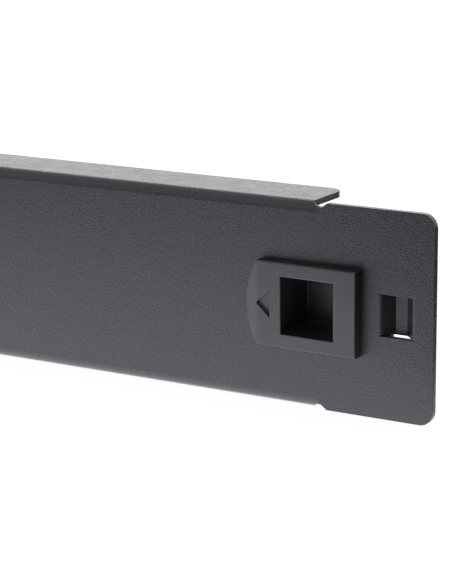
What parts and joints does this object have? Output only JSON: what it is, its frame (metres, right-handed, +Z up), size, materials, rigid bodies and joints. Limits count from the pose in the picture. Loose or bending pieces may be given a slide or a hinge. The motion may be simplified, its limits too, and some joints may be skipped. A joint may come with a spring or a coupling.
{
  "type": "rack blanking panel",
  "caption": "Folded sheet-steel blanking panel for one height unit of a 19-inch rack, with a locating boss and a sprung sliding latch at each end.",
  "frame": {"origin": "middle of the back of the face, the plane that seats on the rack's rails", "axes": "+X along the width, to the right as seen from the front; +Y back into the rack; +Z up"},
  "size_m": [0.4826, 0.0175, 0.0436],
  "materials": {
    "powder_coat": "black fine-texture powder coat, satin",
    "latch_plastic": "moulded black plastic, fine satin",
    "spring_wire": "drawn spring wire"
  },
  "bodies": {
    "panel": {"blanking_panel": "powder_coat", "right_spring_bracket": "powder_coat", "right_latch_spring": "spring_wire", "left_spring_bracket": "powder_coat", "left_latch_spring": "spring_wire"},
    "right_latch": {"right_latch_slider": "latch_plastic", "right_latch_bolt": "latch_plastic"},
    "left_latch": {"left_latch_slider": "latch_plastic", "left_latch_bolt": "latch_plastic"}
  },
  "joints": [
    {"name": "right_latch_slide", "type": "slide", "parent": "panel", "child": "right_latch", "axis": [-1, 0, 0], "range_m": [0, 0.005], "stiffness_N_per_m": 410, "springref_m": -0.0076, "deforming": ["right_latch_spring"]},
    {"name": "left_latch_slide", "type": "slide", "parent": "panel", "child": "left_latch", "axis": [1, 0, 0], "range_m": [0, 0.005], "stiffness_N_per_m": 410, "springref_m": -0.0076, "deforming": ["left_latch_spring"]}
  ]
}
